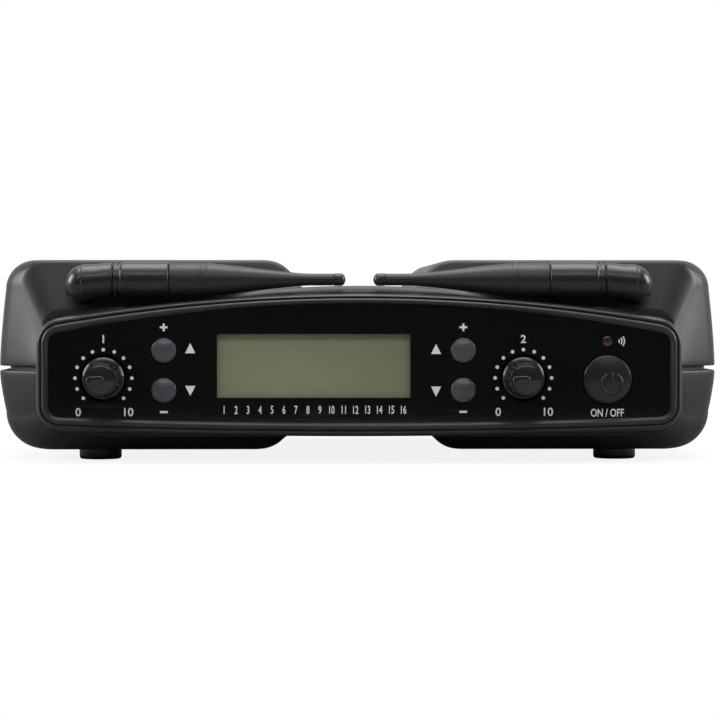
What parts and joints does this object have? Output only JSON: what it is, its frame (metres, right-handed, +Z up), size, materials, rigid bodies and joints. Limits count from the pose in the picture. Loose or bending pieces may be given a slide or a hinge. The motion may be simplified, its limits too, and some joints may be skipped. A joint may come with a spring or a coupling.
{
  "type": "wireless microphone receiver",
  "caption": "Half-width desktop wireless receiver with arched glossy front panel, display, volume knobs, keys and swivelling front antennas stowed inward.",
  "frame": {"origin": "middle of the footprint, on the surface that the feet stand on", "axes": "+X to the right seen from the front, the front panel faces -Y, +Z up"},
  "size_m": [0.21, 0.168, 0.0588],
  "materials": {
    "shell_plastic": "fine textured satin",
    "bezel_plastic": "smooth satin",
    "panel_acrylic": "high gloss",
    "rear_paint": "fine powder coat",
    "foot_rubber": "semi gloss",
    "screw_steel": "zinc plated",
    "knob_gloss": "gloss",
    "shaft_metal": "machined",
    "button_satin": "satin",
    "switch_plastic": "plain",
    "frame_plastic": "plain",
    "ir_plastic": "dark red, gloss",
    "lcd_face": "polarised film under glass",
    "board_green": "solder mask",
    "ribbon_grey": "plain",
    "can_steel": "tinned",
    "heatsink_aluminium": "black anodised",
    "capacitor_sleeve": "shrink sleeve",
    "antenna_gloss": "gloss",
    "antenna_rubber": "matte",
    "antenna_cap": "satin",
    "lead_sleeve": "plain",
    "socket_plastic": "satin",
    "pin_metal": "bright tin",
    "nut_chrome": "nickel"
  },
  "bodies": {
    "housing": {"upper_shell": "shell_plastic", "lower_shell": "shell_plastic", "front_bezel": "bezel_plastic", "front_panel": "panel_acrylic", "rear_panel": "rear_paint", "rubber_feet": "foot_rubber", "foot_screws": "screw_steel", "shell_screws": "screw_steel", "rear_panel_screws": "screw_steel", "pot_body_a": "shaft_metal", "pot_body_b": "shaft_metal", "tact_switches": "switch_plastic", "power_switch": "switch_plastic", "ir_window": "ir_plastic", "ir_receiver": "ir_plastic", "display_glass": "lcd_face", "display_frame": "frame_plastic", "backlight": "frame_plastic", "front_board": "board_green", "main_board": "board_green", "board_screws": "screw_steel", "ribbon_cable": "ribbon_grey", "receiver_can_a": "can_steel", "receiver_can_b": "can_steel", "regulator_heatsink": "heatsink_aluminium", "capacitors": "capacitor_sleeve", "coax_lead_left": "lead_sleeve", "coax_lead_right": "lead_sleeve", "xlr_output_a": "socket_plastic", "xlr_output_b": "socket_plastic", "xlr_pins_a": "pin_metal", "xlr_pins_b": "pin_metal", "mix_jack": "socket_plastic", "jack_nut": "nut_chrome", "dc_inlet": "socket_plastic", "dc_pin": "pin_metal"},
    "knob_a": {"volume_knob_a": "knob_gloss", "pot_shaft_a": "shaft_metal"},
    "knob_b": {"volume_knob_b": "knob_gloss", "pot_shaft_b": "shaft_metal"},
    "key_a_upper": {"button_a_upper": "button_satin"},
    "key_a_lower": {"button_a_lower": "button_satin"},
    "key_b_upper": {"button_b_upper": "button_satin"},
    "key_b_lower": {"button_b_lower": "button_satin"},
    "power_key": {"power_button": "button_satin", "power_plunger": "frame_plastic"},
    "antenna_left": {"antenna_elbow_left": "antenna_gloss", "antenna_barrel_left": "antenna_gloss", "antenna_sleeve_left": "antenna_rubber", "antenna_tip_left": "antenna_cap", "antenna_clip_left": "screw_steel"},
    "antenna_right": {"antenna_elbow_right": "antenna_gloss", "antenna_barrel_right": "antenna_gloss", "antenna_sleeve_right": "antenna_rubber", "antenna_tip_right": "antenna_cap", "antenna_clip_right": "screw_steel"}
  },
  "joints": [
    {"name": "volume_a_turn", "type": "hinge", "parent": "housing", "child": "knob_a", "pos_m": [-0.0732, -0.07, 0.0245], "axis": [0, 1, 0], "range_deg": [-35, 235]},
    {"name": "volume_b_turn", "type": "hinge", "parent": "housing", "child": "knob_b", "pos_m": [0.0468, -0.07, 0.0245], "axis": [0, 1, 0], "range_deg": [-35, 235]},
    {"name": "button_a_upper_press", "type": "slide", "parent": "housing", "child": "key_a_upper", "axis": [0, 1, 0], "range_m": [0, 0.0005], "stiffness_N_per_m": 800},
    {"name": "button_a_lower_press", "type": "slide", "parent": "housing", "child": "key_a_lower", "axis": [0, 1, 0], "range_m": [0, 0.0005], "stiffness_N_per_m": 800},
    {"name": "button_b_upper_press", "type": "slide", "parent": "housing", "child": "key_b_upper", "axis": [0, 1, 0], "range_m": [0, 0.0005], "stiffness_N_per_m": 800},
    {"name": "button_b_lower_press", "type": "slide", "parent": "housing", "child": "key_b_lower", "axis": [0, 1, 0], "range_m": [0, 0.0005], "stiffness_N_per_m": 800},
    {"name": "power_press", "type": "slide", "parent": "housing", "child": "power_key", "axis": [0, 1, 0], "range_m": [0, 0.002], "stiffness_N_per_m": 600},
    {"name": "antenna_left_swivel", "type": "hinge", "parent": "housing", "child": "antenna_left", "pos_m": [-0.0795, -0.05902, 0.0503], "axis": [0, -0.8988, 0.4384], "range_deg": [0, 120]},
    {"name": "antenna_right_swivel", "type": "hinge", "parent": "housing", "child": "antenna_right", "pos_m": [0.0795, -0.05902, 0.0503], "axis": [0, 0.8988, -0.4384], "range_deg": [0, 120]}
  ]
}
